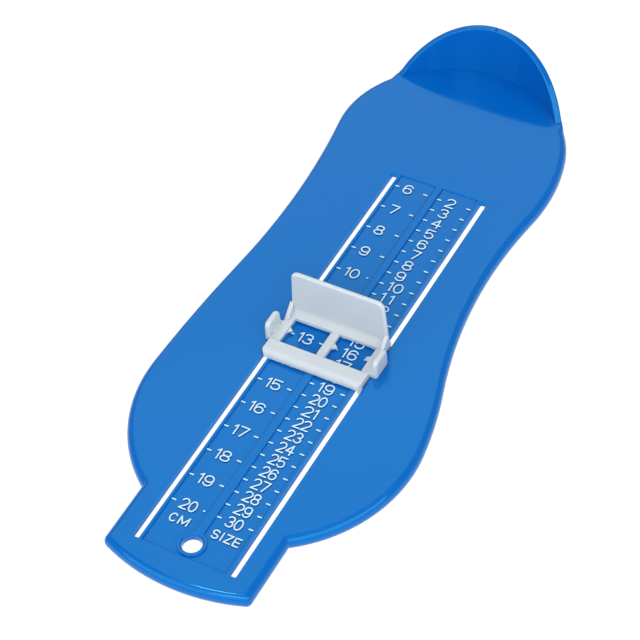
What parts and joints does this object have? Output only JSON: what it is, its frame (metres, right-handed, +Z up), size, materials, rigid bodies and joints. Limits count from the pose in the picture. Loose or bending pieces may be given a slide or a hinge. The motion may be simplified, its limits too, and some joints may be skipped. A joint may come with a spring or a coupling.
{
  "type": "foot measuring device",
  "caption": "Flat foot-shaped gauge with a raised heel cup, sunk graduated scales and a sliding toe stop whose pointers read the length of a small child's foot.",
  "frame": {"origin": "middle of the overall outline seen from above, on the table that the skirt's rim stands on", "axes": "+Z up from the table, +Y along the scales towards the heel cup, +X to the right of someone who looks towards the heel cup"},
  "size_m": [0.0904, 0.229, 0.0239],
  "materials": {
    "blue_plastic": "polished",
    "white_foil": "hot-stamped, matte",
    "pearl_plastic": "satin, slightly translucent"
  },
  "bodies": {
    "foot_board": {"foot_plate": "blue_plastic", "heel_cup": "blue_plastic", "cm_graduations": "white_foil", "size_graduations": "white_foil"},
    "slider": {"slider_frame": "pearl_plastic", "toe_stop": "pearl_plastic"}
  },
  "joints": [
    {"name": "toe_slide", "type": "slide", "parent": "foot_board", "child": "slider", "axis": [0, 1, 0], "range_m": [-0.074, 0.0664]}
  ]
}
